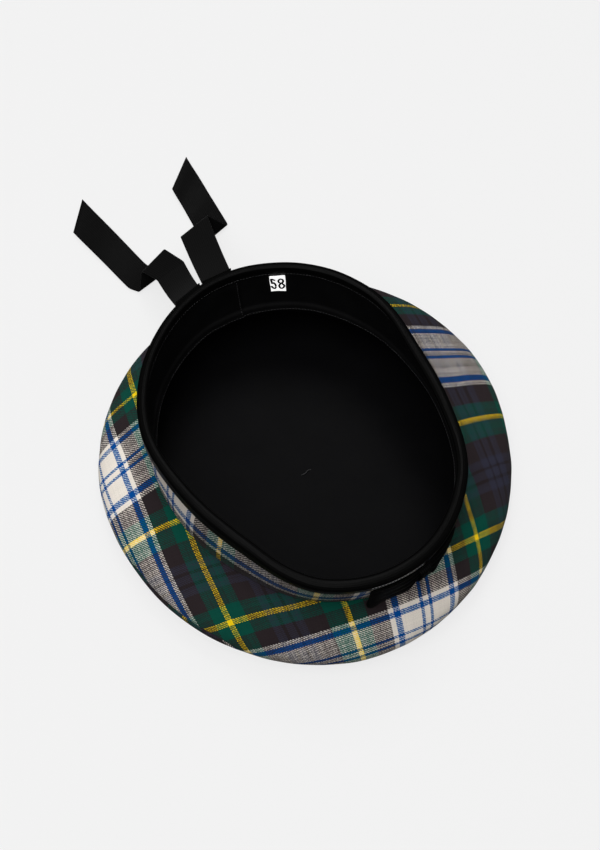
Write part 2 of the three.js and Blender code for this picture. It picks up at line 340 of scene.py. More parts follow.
for way in (0, 1):
    number = add(tree, "ShaderNodeMath", {0: split.outputs[way]}, operation="FLOOR")
    middle = add(tree, "ShaderNodeMath", {0: number, 1: 0.5}, operation="ADD")
    folded = add(tree, "ShaderNodeMath", {0: middle, 1: HALF_SETT / THREAD}, operation="PINGPONG")
    in_sett = add(tree, "ShaderNodeMath", {0: folded, 1: THREAD / HALF_SETT}, operation="MULTIPLY")
    dyed = add(tree, "ShaderNodeValToRGB", {0: in_sett})
    dyed.color_ramp.interpolation = "CONSTANT"
    stops = dyed.color_ramp.elements
    for start, colour in STRIPES:
        stop = stops.new(start / HALF_SETT) if start else stops[0]
        stop.color = linear(colour)
    stops.remove(stops[len(stops) - 1])
    within = add(tree, "ShaderNodeMath", {0: split.outputs[way]}, operation="FRACT")
    centred = add(tree, "ShaderNodeMath", {0: within, 1: 0.5}, operation="SUBTRACT")
    opened = add(tree, "ShaderNodeMath", {0: centred, 1: math.pi}, operation="MULTIPLY")
    crest = add(tree, "ShaderNodeMath", {0: opened}, operation="COSINE")
    own = add(tree, "ShaderNodeTexWhiteNoise", {"W": number}, noise_dimensions="1D")
    yarns.append((number, dyed, crest, own))
(warp, warp_dyed, warp_crest, warp_own), (weft, weft_dyed, weft_crest, weft_own) = yarns
# each thread goes over two and under two, a step further along in each row
step = add(tree, "ShaderNodeMath", {0: warp, 1: weft}, operation="ADD")
share = add(tree, "ShaderNodeMath", {0: step, 1: 0.25, 2: 0.125}, operation="MULTIPLY_ADD")
turn = add(tree, "ShaderNodeMath", {0: share}, operation="FRACT")
warp_over = add(tree, "ShaderNodeMath", {0: turn, 1: 0.5}, operation="LESS_THAN")
# the upper thread shows most at a crossing, but stray fibres and stouter yarns press through,
# and dark yarn tells more than light
UPPER, STRAY, STOUT, DARK = 0.8, 0.4, 0.35, 0.3  # how much each of these counts
crossing = add(tree, "ShaderNodeVectorMath", {0: counted}, operation="FLOOR")
stray = add(tree, "ShaderNodeTexWhiteNoise", {"Vector": crossing}, noise_dimensions="2D").outputs[0]
stouter = add(tree, "ShaderNodeMath", {0: warp_own, 1: weft_own}, operation="SUBTRACT")
evened = (1 - UPPER - STRAY) / 2
slubs = add(tree, "ShaderNodeMath", {0: stouter, 1: STOUT, 2: evened}, operation="MULTIPLY_ADD")
strays = add(tree, "ShaderNodeMath", {0: stray, 1: STRAY, 2: slubs}, operation="MULTIPLY_ADD")
# threads blend as the eye sees them, not as light adds up
EYE = 2.2
dyes = (weft_dyed, warp_dyed)
pale = [add(tree, "ShaderNodeGamma", {"Color": dyed, "Gamma": 1 / EYE}) for dyed in dyes]
tones = [add(tree, "ShaderNodeRGBToBW", {0: colour}) for colour in pale]
darker = add(tree, "ShaderNodeMath", {0: tones[0], 1: tones[1]}, operation="SUBTRACT")
told = add(tree, "ShaderNodeMath", {0: darker, 1: DARK, 2: strays}, operation="MULTIPLY_ADD")
most = {0: warp_over, 1: UPPER, 2: told}
shown = add(tree, "ShaderNodeMath", most, operation="MULTIPLY_ADD", use_clamp=True)
blend = add(tree, "ShaderNodeMix", {"Factor": shown, "A": pale[0], "B": pale[1]}, data_type="RGBA")
woven = add(tree, "ShaderNodeGamma", {"Color": blend.outputs["Result"], "Gamma": EYE})
# each yarn took the dye a little differently, and its fibres, rather more than one tuft to a thread,
# catch the light unevenly and stand up between the threads' crests
DYED_MOST, DYE, CATCH = 0.98, 0.12, 0.3
TUFTS, TUFT_HEIGHT, RELIEF = 1.3, 0.8, 0.12
own = add(tree, "ShaderNodeMix", {0: warp_over, 2: weft_own, 3: warp_own}, data_type="FLOAT")
tufts = {"Vector": counted, "Scale": TUFTS, "Detail": 3.0}
fibres = add(tree, "ShaderNodeTexNoise", tufts, noise_dimensions="2D").outputs[0]
uneven = add(tree, "ShaderNodeMath", {0: own, 1: DYE, 2: DYED_MOST - DYE}, operation="MULTIPLY_ADD")
shade = add(tree, "ShaderNodeMath", {0: fibres, 1: CATCH, 2: -CATCH / 2}, operation="MULTIPLY_ADD")
value = add(tree, "ShaderNodeMath", {0: uneven, 1: shade}, operation="ADD")
toned = add(tree, "ShaderNodeHueSaturation", {"Value": value, "Color": woven})
tree.links.new(toned.outputs[0], shader.inputs["Base Color"])
high = add(tree, "ShaderNodeMix", {0: warp_over, 2: weft_crest, 3: warp_crest}, data_type="FLOAT")
fuzz = add(tree, "ShaderNodeMath", {0: fibres, 1: TUFT_HEIGHT, 2: high}, operation="MULTIPLY_ADD")
relief = add(tree, "ShaderNodeBump", {"Strength": 0.5, "Distance": RELIEF * MM, "Height": fuzz})
tree.links.new(relief.outputs[0], shader.inputs["Normal"])
shader.inputs["Roughness"].default_value = 0.9
shader.inputs["Specular IOR Level"].default_value = 0.08
shader.inputs["Sheen Weight"].default_value = 0.03
shader.inputs["Sheen Roughness"].default_value = 0.45
crown_top.data.materials.append(tartan)
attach(crown_top, "root")
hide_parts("crown_top")

# Crown under panel. A ring of the same tartan, sewn to the top panel along the crown's edge
# and eased in to the headband, which leaves a few small puckers beside the seam.
shares = np.linspace(0, 1, 50)
face, far = spread(line, shares, meet + 0.5)
from_edge, from_seam = far - far[:, :1], far[:, -1:] - far
middle = np.sin(math.pi * shares) ** 1.2
sag = waver(angles, ((2, 1.2, 0.5), (3, 4.0, 0.45), (5, 0.7, 0.35), (8, 2.6, 0.2)))[:, None] * middle
puckers = waver(angles, ((31, 0.5, 0.12), (43, 2.2, 0.12), (57, 4.1, 0.1), (13, 1.0, 0.15)))[:, None]
gathers = waver(angles, ((29, 1.5, 0.1), (47, 0.2, 0.1), (11, 3.3, 0.16)))[:, None]
face[..., 1] += sag + puckers * np.exp(-from_seam / 7) * (1 - np.exp(-from_seam / 1.5))
face[..., 0] += uneven_edge * np.exp(-((from_edge / 14) ** 2))
face[..., 0] += gathers * from_edge / 3 * np.exp(-from_edge / 4)
# the ring was cut a little smaller at the seam and broader than it now is,
# and the block drew its stripes out of true: they stray along it and lean across it
SEAM_CUT, BREADTH_CUT = 0.935, 1.207
HALF_BREADTH = 18
across = (from_seam - HALF_BREADTH) / HALF_BREADTH
round_cut = SEAM_CUT * radius(SEAM, angles)[:, None] + BREADTH_CUT * from_seam
x, y = round_cut * np.cos(angles)[:, None], round_cut * np.sin(angles)[:, None]
drawn_u = waver(angles, ((1, 1.88, 0.49), (2, -1.63, 1.17), (3, 3.01, 1.13)))[:, None]
drawn_v = waver(angles, ((1, -2.76, 1.2), (2, -2.11, 2.4), (3, -2.81, 2.06)))[:, None]
leant_u = waver(angles, ((1, -2.14, 2.26), (2, -2.5, 1.29), (3, -0.89, 1.02)))[:, None] - 0.23
leant_v = waver(angles, ((1, 0.16, 3.39), (2, -1.85, 0.61), (3, -2.52, 0.26)))[:, None] + 1.91
# it is turned about 13 degrees on the stripes
flat = np.stack(
    [
        0.978 * x - 0.214 * y - 25.7 + drawn_u + leant_u * across,
        0.227 * x + 0.948 * y - 27.0 + drawn_v + leant_v * across,
    ],
    axis=-1,
)
crown_under = lay("crown_under_panel", turned(face, angles), flat)
thicken(crown_under, CLOTH_THICK, CUT_ROUND)
crown_under.data.materials.append(tartan)
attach(crown_under, "root")
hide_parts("crown_under")

# Headband. A straight strip of the tartan, its stripes along the head, sewn into a round at the back
# and joined to the under panel by its lower edge; it stands up stiffly and flares at front and back.
BAND_HEIGHT = 46  # up its slope, to the top of the binding
BAND_START, BAND_TOP = 0.6, 43.35  # where the strip's own edges are
BAND_INSET = 1.2  # how far its top is inside the rim's outline
BAND_JOIN = math.radians(91)
NAVY_AT = math.radians(219.3)  # where a navy pivot crosses it, at the front left
BAND_DRAWN, BAND_SLANT = 1.06, 0.065  # how much its stripes are drawn together and leant over
# heights up the band, and the place in the cloth's stripes that each shows
BAND_STRIPES = ((0, 12.5, 17.2, 25, 43.4), (30.5, 23.1, 20.1, 15.9, 5.5))


def on_band(angle, height, depth):
    """Points of the headband at heights up its slope and depths behind its face,
    as radius and height."""
    foot = radius(SEAM, angle)[:, None]
    lean = radius(RIM, angle)[:, None] - BAND_INSET - foot
    slope = np.stack([lean / BAND_HEIGHT, np.sqrt(1 - (lean / BAND_HEIGHT) ** 2)], axis=-1)
    inward = np.stack([-slope[..., 1], slope[..., 0]], axis=-1)
    height = np.broadcast_to(height, (len(foot), np.shape(height)[-1]))[..., None]
    depth = np.broadcast_to(depth, height.shape[:2])[..., None]
    start = np.stack([foot, np.full_like(foot, SEAM_HEIGHT)], axis=-1)
    return start + slope * height + inward * (depth - np.sin(math.pi * height / BAND_HEIGHT))


def run_of(points):
    """The distance of each point of a line from its start, along it."""
    return np.concatenate([[0], np.cumsum(np.linalg.norm(np.diff(points, axis=0), axis=1))])


# the rows lie closer at the foot, which is tucked into the seam
band_angles = BAND_JOIN + angles
heights = np.concatenate([np.linspace(BAND_START, 3, 6), np.linspace(4.2, BAND_TOP, 26)])
tuck = 0.5 * np.exp(-(heights - BAND_START))
ease = waver(band_angles, ((3, 0.3, 0.25), (7, 1.4, 0.2), (12, 2.5, 0.12)))[:, None]
give = ease * np.sin(math.pi * np.clip(heights / 38, 0, 1))
placed = turned(on_band(band_angles, heights, tuck + give), band_angles)
BAND_GIRTH_ROW = 14  # the row along which its length is measured
girth = run_of(placed[:, BAND_GIRTH_ROW])
from_navy = BAND_DRAWN * (girth - np.interp(NAVY_AT, band_angles, girth))
flat = np.stack(
    [
        (from_navy + HALF_SETT)[:, None] - BAND_SLANT * (heights - 10)[None, :],
        np.broadcast_to(np.interp(heights, *BAND_STRIPES)[None, :], placed.shape[:2]),
    ],
    axis=-1,
)
headband = lay("headband_strip", placed, flat)
thicken(headband, CLOTH_THICK, 0.4)
headband.data.materials.append(tartan)
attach(headband, "root")
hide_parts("headband")

# Crown lining. Thin black satin, cut as a disc and a ring, that covers the inside of the crown
# and comes up behind the lower edge of the sweatband.
LINING_THICK = 1.0
LINING_DEPTH = 2.9


def behind(lines, depth):
    """Lines of radius and height moved inwards, square to themselves."""
    run = np.gradient(lines, axis=1)
    side = np.stack([-run[..., 1], run[..., 0]], axis=-1)
    return lines + side / np.linalg.norm(side, axis=-1, keepdims=True) * depth


line = np.concatenate(
    [
        rolled_edge(angles, np.linspace(0, 0.9, 24)),
        under_side(angles, np.linspace(0.22, 0.97, 30)),
        on_band(angles, np.array([1.6, 3.2, 5.0, 7.1]), 0),
    ],
    axis=1,
)
inside = behind(line, LINING_DEPTH)
middle = np.stack([np.zeros(AROUND + 1), np.full(AROUND + 1, LINING_DEPTH)], axis=-1)[:, None]
inside = np.concatenate([middle, inside], axis=1)[:, ::-1]
shares = np.concatenate([np.linspace(0, 0.5, 40), np.linspace(0.515, 1, 34)])
face, far = spread(inside, shares)
# it lies loose on the flat of the crown, most of all towards the edge
loose = np.clip(face[..., 0] / 96, 0, 1) ** 2 * (face[..., 1] < 12)
face[..., 1] += loose * (0.4 + waver(angles, ((4, 0.5, 0.25), (9, 2.1, 0.2), (15, 0.4, 0.12)))[:, None])
from_middle = far[:, -1:] - far
x, y = from_middle * np.cos(angles)[:, None], from_middle * np.sin(angles)[:, None]
flat = np.stack([x, y], axis=-1)
lining = lay("crown_lining_satin", turned(face, angles), flat)
thicken(lining, LINING_THICK, 0.2)
# Acetate satin, woven with a smooth face: black with a soft wide gleam that follows its fine diagonal.
SATIN_LINE = 0.9  # drawn three times too coarse so that it shows
SATIN_CLOUD = 22.2  # how broad its faint patches are
satin, tree, shader = new_finish("black_lining_satin")
cloth = add(tree, "ShaderNodeUVMap")
sized = add(tree, "ShaderNodeVectorMath", {0: cloth, "Scale": 1 / (SATIN_LINE * MM)}, operation="SCALE")
split = add(tree, "ShaderNodeSeparateXYZ", {0: sized})
slant = add(tree, "ShaderNodeMath", {0: split.outputs[0], 1: split.outputs[1]}, operation="ADD")
wave = add(tree, "ShaderNodeMath", {0: slant, 1: 1.0}, operation="PINGPONG")
patches = {"Vector": cloth, "Scale": 1 / (SATIN_CLOUD * MM), "Detail": 3.0}
cloud = add(tree, "ShaderNodeTexNoise", patches, noise_dimensions="2D")
blacks = {"Factor": cloud, "A": linear("#060607"), "B": linear("#09090A")}
tone = add(tree, "ShaderNodeMix", blacks, data_type="RGBA")
tree.links.new(tone.outputs["Result"], shader.inputs["Base Color"])
relief = add(tree, "ShaderNodeBump", {"Strength": 0.25, "Distance": 0.08 * MM, "Height": wave})
tree.links.new(relief.outputs[0], shader.inputs["Normal"])
shader.inputs["Roughness"].default_value = 0.38
shader.inputs["Specular IOR Level"].default_value = 0.013
lining.data.materials.append(satin)
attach(lining, "root")
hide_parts("crown_lining")

# Sweatband. A strip of smooth black leathercloth inside the headband, its ends overlapped at the back.
# Its lower edge hangs a little free over the lining, and grey thread is sewn along it.
SWEAT_THICK = 1.0
SWEAT_DEPTH = 2.9
SWEAT_LOW, SWEAT_TILT = 4.6, 2.0  # how low it hangs, and how much lower at the back
SWEAT_LOWEST = math.radians(112)
SWEAT_END = math.radians(79.4)
SWEAT_OVERLAP = math.radians(8.6)


def sweat_low(angle):
    """How low the sweatband hangs, as a height up the headband."""
    return SWEAT_LOW - SWEAT_TILT * np.cos(angle - SWEAT_LOWEST)


def sweat_depth(angle, height):
    """How deep the sweatband's face is behind the headband's: it stands free of it by the lining,
    swells over the thread of its hem, and lies over its own end where the two overlap."""
    low = sweat_low(angle)
    slack = 0.25 + waver(angle, ((3, 0.9, 0.2), (5, 3.0, 0.15), (11, 0.2, 0.1)))
    free = 1.35 * (1 - eased((height - 7.2) / 3.2)) + slack * np.exp(-np.abs(height - low) / 9)
    hem = 0.3 * np.exp(-(((height - low - 1.0) / 0.9) ** 2))
    past_end = eased((angle - SWEAT_END - SWEAT_OVERLAP) / math.radians(7))
    over = 0.7 * (1 - past_end) * eased((37 - height) / 5)
    return SWEAT_DEPTH + free + hem + over


# the rows lie closer by the hem
sweat_angles = SWEAT_END + np.linspace(0, math.tau + SWEAT_OVERLAP, AROUND + 1)
down = np.concatenate([np.linspace(0, 0.78, 26), np.linspace(0.8, 1, 12)])
heights = BAND_TOP + (sweat_low(sweat_angles)[:, None] - BAND_TOP) * down[None, :]
depths = sweat_depth(sweat_angles[:, None], heights)
placed = turned(on_band(sweat_angles, heights, depths), sweat_angles)
SWEAT_GIRTH_ROW = 10  # the row along which its length is measured
girth = run_of(placed[:, SWEAT_GIRTH_ROW])
flat = np.stack(np.broadcast_arrays(girth[:, None], heights), axis=-1)
sweatband = lay("sweatband_strip", placed, flat, closed=False)
thicken(sweatband, SWEAT_THICK, 0.3)
# Polyurethane leathercloth, calendered: an even black skin with a very fine pebble
# and a low satin gloss.
PEBBLE = 0.7  # from pebble to pebble
LEATHER_CLOUD = 16.7  # how broad its faint patches are
leathercloth, tree, shader = new_finish("black_leathercloth")
cloth = add(tree, "ShaderNodeUVMap")
grain = {"Vector": cloth, "Scale": 1 / (PEBBLE * MM)}
pebbles = add(tree, "ShaderNodeTexVoronoi", grain, voronoi_dimensions="2D")
patches = {"Vector": cloth, "Scale": 1 / (LEATHER_CLOUD * MM), "Detail": 3.0}
cloud = add(tree, "ShaderNodeTexNoise", patches, noise_dimensions="2D")
gloss = add(tree, "ShaderNodeMapRange", {"Value": cloud, "To Min": 0.4, "To Max": 0.55})
blacks = {"Factor": cloud, "A": linear("#070707"), "B": linear("#0F0F10")}
tone = add(tree, "ShaderNodeMix", blacks, data_type="RGBA")
tree.links.new(tone.outputs["Result"], shader.inputs["Base Color"])
tree.links.new(gloss.outputs[0], shader.inputs["Roughness"])
relief = add(tree, "ShaderNodeBump", {"Strength": 0.15, "Distance": 0.05 * MM, "Height": pebbles})
tree.links.new(relief.outputs[0], shader.inputs["Normal"])
shader.inputs["Specular IOR Level"].default_value = 0.1
sweatband.data.materials.append(leathercloth)
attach(sweatband, "root")
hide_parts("sweatband")

# Sweatband stitches. A machine row of grey polyester thread along the sweatband's lower edge,
# and a second one up its overlapped end.
STITCH_LONG = 1.25
STITCH_PITCH = 1.9
STITCH_WIDE = 0.22
STITCH_DIP = 0.12  # how far its ends go down into the holes
STITCH_PROUD = 0.05  # how far its middle stands off the cloth
bpy.ops.object.select_all(action="DESELECT")
bpy.ops.mesh.primitive_uv_sphere_add(segments=6, ring_count=6, radius=1)
stitch = bpy.context.object
stitch.name = "stitch"
bpy.ops.object.mode_set(mode="EDIT")
bpy.ops.mesh.select_all(action="SELECT")
bpy.ops.transform.rotate(value=math.pi / 2, orient_axis="Y", center_override=(0, 0, 0))
bpy.ops.transform.resize(value=(STITCH_LONG / 2 * MM, STITCH_WIDE / 2 * MM, STITCH_WIDE / 2 * MM))
bpy.ops.object.mode_set(mode="OBJECT")
for point in stitch.data.vertices:
    point.co.z -= STITCH_DIP * MM * (point.co.x / (STITCH_LONG / 2 * MM)) ** 2
bpy.ops.object.shade_smooth()
# Spun polyester thread: matt grey, with a faint twist along it. The seams' thread is mid grey,
# the tack's nearly black, and the bow's pale: a painted glint, the light caught where the bow meets the
# binding.
TWIST = 0.385  # from turn to turn
threads = []
for name, hollow, strand in (
    ("grey_sewing_thread", "#363638", "#606062"),
    ("dark_sewing_thread", "#1C1C1D", "#373738"),
    # painted glint: pale thread for the light caught above the bow
    ("painted_glint_sewing_thread", "#949496", "#DEDEE0"),
):
    spun, tree, shader = new_finish(name)
    spot = add(tree, "ShaderNodeTexCoord").outputs["Object"]
    twist = add(tree, "ShaderNodeTexNoise", {"Vector": spot, "Scale": 1 / (TWIST * MM), "Detail": 2.0})
    greys = {"Factor": twist, "A": linear(hollow), "B": linear(strand)}
    tone = add(tree, "ShaderNodeMix", greys, data_type="RGBA")
    tree.links.new(tone.outputs["Result"], shader.inputs["Base Color"])
    shader.inputs["Roughness"].default_value = 0.7
    shader.inputs["Specular IOR Level"].default_value = 0.3
    threads.append(spun)
grey_thread, dark_thread, painted_glint_thread = threads


def sew(name, rows, thread):
    """Copies the stitch along rows, each a line of points and of the points just above them,
    and joins the copies."""
    copies = []
    for line, above in rows:
        runs = run_of(line)
        for far in np.arange(STITCH_PITCH / 2, runs[-1] - STITCH_LONG / 2, STITCH_PITCH):
            here, next_on, over = (
                np.array([np.interp(far + step, runs, points[:, k]) for k in range(3)])
                for points, step in ((line, 0), (line, 0.2), (above, 0))
            )
            ahead = mathutils.Vector(next_on - here).normalized()
            up = mathutils.Vector(over - here)
            up = (up - ahead * up.dot(ahead)).normalized()
            copy = stitch.copy()
            copy.data = stitch.data.copy()
            turn = mathutils.Matrix((ahead, up.cross(ahead), up)).transposed().to_4x4()
            copy.matrix_world = mathutils.Matrix.Translation(here * MM) @ turn
            bpy.context.collection.objects.link(copy)
            copies.append(copy)
    bpy.ops.object.select_all(action="DESELECT")
    for copy in copies:
        copy.select_set(True)
    bpy.context.view_layer.objects.active = copies[0]
    bpy.ops.object.join()
    bpy.ops.object.transform_apply(location=True, rotation=True, scale=True)
    row = bpy.context.object
    row.name = name
    row.data.name = name
    row.data.materials.clear()
    row.data.materials.append(thread)
    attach(row, "root")
    return row


def inside_row(angle, height, depth):
    """A line on the inside of the headband, with the points just above it."""
    low, high = (on_band(angle, height[:, None], (depth + step)[:, None]) for step in (0, 0.5))
    return turned(low, angle)[:, 0], turned(high, angle)[:, 0]


HEM_UP = 1.5  # how far the row is from the lower edge
END_IN = 1.3 / 98  # how far the other is from the overlapped end, on a radius of 98
hem_height = sweat_low(sweat_angles) + HEM_UP
hem_row = inside_row(sweat_angles, hem_height, sweat_depth(sweat_angles, hem_height) + STITCH_PROUD)
end_height = np.linspace(sweat_low(SWEAT_END) + 3, 36, 40)
end_angle = np.full(40, SWEAT_END + END_IN)
end_row = inside_row(end_angle, end_height, sweat_depth(end_angle, end_height) + STITCH_PROUD)
hem_stitches = sew("sweatband_stitches", [hem_row, end_row], grey_thread)

# Lining tack. A short end of dark thread in the middle of the lining, sewn by hand
# right through the crown, so that the lining stays down.
TACK_HALF_WIDE = 0.26
TACK_POINTS = ((-6.4, -2.9, 3.1), (-3.8, -3.4, 3.75), (-1.6, -2.7, 3.6), (0.4, -3.2, 3.1))
bpy.ops.object.select_all(action="DESELECT")
bpy.ops.curve.primitive_bezier_curve_add()
tack = bpy.context.object
tack.name = "lining_tack"
tack.data.bevel_depth = TACK_HALF_WIDE * MM
tack.data.bevel_resolution = 2
tack.data.resolution_u = 8
tack.data.use_fill_caps = True
knots = tack.data.splines[0].bezier_points
knots.add(len(TACK_POINTS) - len(knots))
for knot, place in zip(knots, TACK_POINTS):
    knot.co = [v * MM for v in place]
    knot.handle_left_type = knot.handle_right_type = "AUTO"
bpy.ops.object.convert(target="MESH")
tack.data.materials.append(dark_thread)
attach(tack, "root")

# Rim binding. Black ribbed ribbon folded over the top of the headband and the sweatband
# and sewn through, so that it makes a soft round rim.
RIBBON_THICK = 0.9
OUTSIDE, INSIDE, SEWN = -1.2, 6.0, 4.1  # depths of its outer side, of its roll and of its inner edge
FOOT_OUTSIDE, FOOT_INSIDE, SHOULDER = 37, 38, 42.6  # heights of its two edges and of its fold's sides
SNUG = 0.3  # how far its edges press in
turn = np.linspace(0, math.pi, 17)
heights = np.concatenate(
    [
        np.linspace(FOOT_OUTSIDE, SHOULDER, 9),
        BAND_TOP + (BAND_HEIGHT - BAND_TOP) * np.sin(turn),
        np.linspace(SHOULDER, FOOT_INSIDE, 8),
    ]
)
depths = np.concatenate(
    [
        np.full(9, OUTSIDE),
        OUTSIDE + (INSIDE - OUTSIDE) / 2 * (1 - np.cos(turn)),
        INSIDE + (SEWN - INSIDE) * eased(np.linspace(0.05, 1, 8)),
    ]
)
soft = waver(band_angles, ((4, 0.2, 0.2), (9, 1.3, 0.15), (23, 2.4, 0.08)))[:, None]
on_top = np.clip((heights - 41) / 4, 0, 1)
snug_outside = SNUG * np.exp(-((heights - FOOT_OUTSIDE) / 1.2)) * (depths < 0)
snug_inside = SNUG * np.exp(-((heights - FOOT_INSIDE) / 1.2)) * (depths > 0)
# the roll leans in less at the back
slimmer = 0.7 * (1 + np.sin(band_angles))[:, None] * np.clip((depths - SEWN) / (INSIDE - SEWN), 0, 1)
depths = depths + snug_outside - snug_inside - slimmer
placed = turned(on_band(band_angles, heights + soft * on_top, depths), band_angles)
BINDING_GIRTH_ROW = 12  # the row along which its length is measured
girth, wide = run_of(placed[:, BINDING_GIRTH_ROW]), run_of(placed[0])
flat = np.stack(np.broadcast_arrays(wide[None, :], girth[:, None]), axis=-1)
binding = lay("rim_binding_ribbon", placed, flat)
thicken(binding, RIBBON_THICK, 0.3)
# Cotton and viscose ribbon, woven with fine ribs along it: deep black and nearly matt, with a dull
# gleam where it bends. On the rim it is steamed and drawn tight, so that its ribs hardly show; in the
# bow it is given almost no gloss, a painted shade for the shade that falls on the bow; its loose ends
# have kept their ribs and a little nap.
RIB = 1.2  # from rib to rib, half as coarse again so that they show
RIBBON_FIBRE = 1.11  # from tuft to tuft
ribbons = []
for name, valley, ridge, rough, gleam, nap in (
    ("black_binding_ribbon", "#030303", "#060606", 0.36, 0.025, 0.004),
    # the bow's copy: almost no gloss, painted shade for the shade on the bow
    ("black_bow_painted_shade_ribbon", "#040404", "#131313", 0.5, 0.004, 0.0),
    ("black_ribbed_ribbon", "#020202", "#0D0D0D", 0.4, 0.025, 0.06),
):
    ribbed, tree, shader = new_finish(name)
    cloth = add(tree, "ShaderNodeUVMap")
    pitch = math.tau / (RIB * MM)
    sized = add(tree, "ShaderNodeVectorMath", {0: cloth, "Scale": pitch}, operation="SCALE")
    split = add(tree, "ShaderNodeSeparateXYZ", {0: sized})
    ribs = add(tree, "ShaderNodeMath", {0: split.outputs[0]}, operation="SINE")
    tufts = {"Vector": cloth, "Scale": 1 / (RIBBON_FIBRE * MM), "Detail": 3.0}
    fibres = add(tree, "ShaderNodeTexNoise", tufts, noise_dimensions="2D")
    height = add(tree, "ShaderNodeMath", {0: fibres, 1: 0.8, 2: ribs}, operation="MULTIPLY_ADD")
    worn = add(tree, "ShaderNodeMapRange", {"Value": height, "From Min": -0.8, "From Max": 1.6})
    blacks = {"Factor": worn, "A": linear(valley), "B": linear(ridge)}
    tone = add(tree, "ShaderNodeMix", blacks, data_type="RGBA")
    tree.links.new(tone.outputs["Result"], shader.inputs["Base Color"])
    relief = add(tree, "ShaderNodeBump", {"Strength": 0.3, "Distance": 0.08 * MM, "Height": height})
    tree.links.new(relief.outputs[0], shader.inputs["Normal"])
    shader.inputs["Roughness"].default_value = rough
    shader.inputs["Specular IOR Level"].default_value = gleam
    shader.inputs["Sheen Weight"].default_value = nap
    shader.inputs["Sheen Roughness"].default_value = 0.4
    ribbons.append(ribbed)
binding_ribbon, bow_shade_painted_ribbon, loose_ribbon = ribbons
binding.data.materials.append(binding_ribbon)
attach(binding, "root")
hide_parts("rim_binding")
# the row that sews its inner edge down
edge_height = np.full(AROUND + 1, FOOT_INSIDE + 1.0)
edge_row = inside_row(band_angles, edge_height, np.full(AROUND + 1, SEWN + STITCH_PROUD))
edge_stitches = sew("binding_stitches", [edge_row], grey_thread)

# Bow loops. A length of the ribbon closed on itself, pleated in the middle and sewn flat to the front
# of the headband, so that it makes two low loops that gape a little at the top.
BOW_AT = math.radians(-89.1)
BOW_LEFT, BOW_RIGHT = 33.5, 28.5
BOW_MIDDLE = 21.5  # height of its middle up the headband
BOW_WIDE, BOW_PINCHED = 31, 17  # the ribbon's width, and how much of it the knot takes in
BOW_THICK, BOW_ROUND = 0.6, 0.2
BOW_BACK = 0.75  # how far its back stands off the headband
BOW_TOP_STAND, BOW_LOW_STAND = 1.9, 3.8  # how thick the loop is at its upper and its lower edge
bow_radius = radius(RIM, BOW_AT)


def on_front(along, height, out):
    """Points by their distance along the front of the headband, their height up it
    and how far they stand off it."""
    angle = BOW_AT + along / bow_radius
    spot = on_band(angle.ravel(), height.reshape(-1, 1), -out.reshape(-1, 1))
    return turned(spot, angle.ravel()).reshape(*along.shape, 3)


def blunt(value):
    """Fills out a sine or a cosine, so that the loop it draws has blunt ends."""
    return np.sign(value) * np.abs(value) ** 0.6


def hump(along, middle, half):
    """A soft hump of height 1 along the bow."""
    return np.exp(-(((along - middle) / half) ** 2))


turn = np.linspace(0, math.tau, 161)[:, None]
across = np.linspace(-1, 1, 41)[None, :]
along = np.where(np.cos(turn) > 0, BOW_RIGHT, BOW_LEFT) * blunt(np.cos(turn)) + 0 * across
pinch = hump(along, 0, 9)
# the lower edge stands further off than the upper one,
# most of all in a lobe each side of the knot and at the left end
low = BOW_LOW_STAND + 1.9 * hump(along, -7.5, 5) + 2.8 * hump(along, 7, 5.5) + 3.6 * hump(along, -33, 6)
stand = BOW_TOP_STAND + (low - BOW_TOP_STAND) * (1 - across) / 2
out = BOW_BACK + stand * (1 - 0.5 * pinch) * (1 + blunt(np.sin(turn))) / 2
pleats = hump(along, 0, 17) * np.sin(turn).clip(0, 1) ** 0.5
out = out + 0.6 * pleats * np.cos(across * 10.5 + 0.4 * np.sign(along)) * (1 - 0.75 * across**6)
tall = BOW_WIDE - BOW_PINCHED * pinch
droop = 0.8 * np.sin(along / 9) * (1 - pinch)
height = BOW_MIDDLE + 5.5 * pinch + tall / 2 * across + droop
placed = on_front(along, height, out)
girth = run_of(placed[:, across.size // 2])
flat = np.stack(np.broadcast_arrays(BOW_WIDE / 2 * across, girth[:, None]), axis=-1)
loops = lay("bow_loops_ribbon", placed[::-1], flat[::-1])
thicken(loops, BOW_THICK, BOW_ROUND)
loops.data.materials.append(bow_shade_painted_ribbon)
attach(loops, "root")
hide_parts("bow_loops")
# the thread that holds the loops, sewn through the shoulder of the binding over them;
# its pale colour is a painted glint, the light caught where the bow meets the binding
BOW_ROW_HEIGHT, BOW_ROW_END = 42.8, -1.5
along = np.linspace(-BOW_LEFT, BOW_ROW_END, 60)
over_bow = [on_front(along, np.full(60, BOW_ROW_HEIGHT), np.full(60, off)) for off in (1.5, 2.0)]
bow_stitches = sew("bow_stitches", [over_bow], painted_glint_thread)
bpy.data.objects.remove(stitch)

# Bow knot. A short end of the ribbon, folded narrow and wrapped round the middle of the loops,
# closed behind them.
KNOT_UP, KNOT_HALF_TALL = 5, 8.2  # how far its middle is above the bow's, and half its height
KNOT_STAND = 4.4  # how thick it is through
KNOT_HALF_WIDE, KNOT_WAIST = 4.2, 0.7  # half its width at the back, and how much less at the front
KNOT_HALF_CUT = 4  # half the width that it was folded to
turn = np.linspace(0, math.tau, 61)[:, None]
across = np.linspace(-1, 1, 21)[None, :]
height = BOW_MIDDLE + KNOT_UP + KNOT_HALF_TALL * blunt(np.cos(turn)) + 0 * across
over = np.sin(turn).clip(0, 1)
folds = 0.3 * np.cos(across * 8) * over * (1 - across**6)
out = BOW_BACK + KNOT_STAND * (1 + blunt(np.sin(turn))) / 2 + folds
placed = on_front((KNOT_HALF_WIDE - KNOT_WAIST * over) * across, height, out)
girth = run_of(placed[:, across.size // 2])
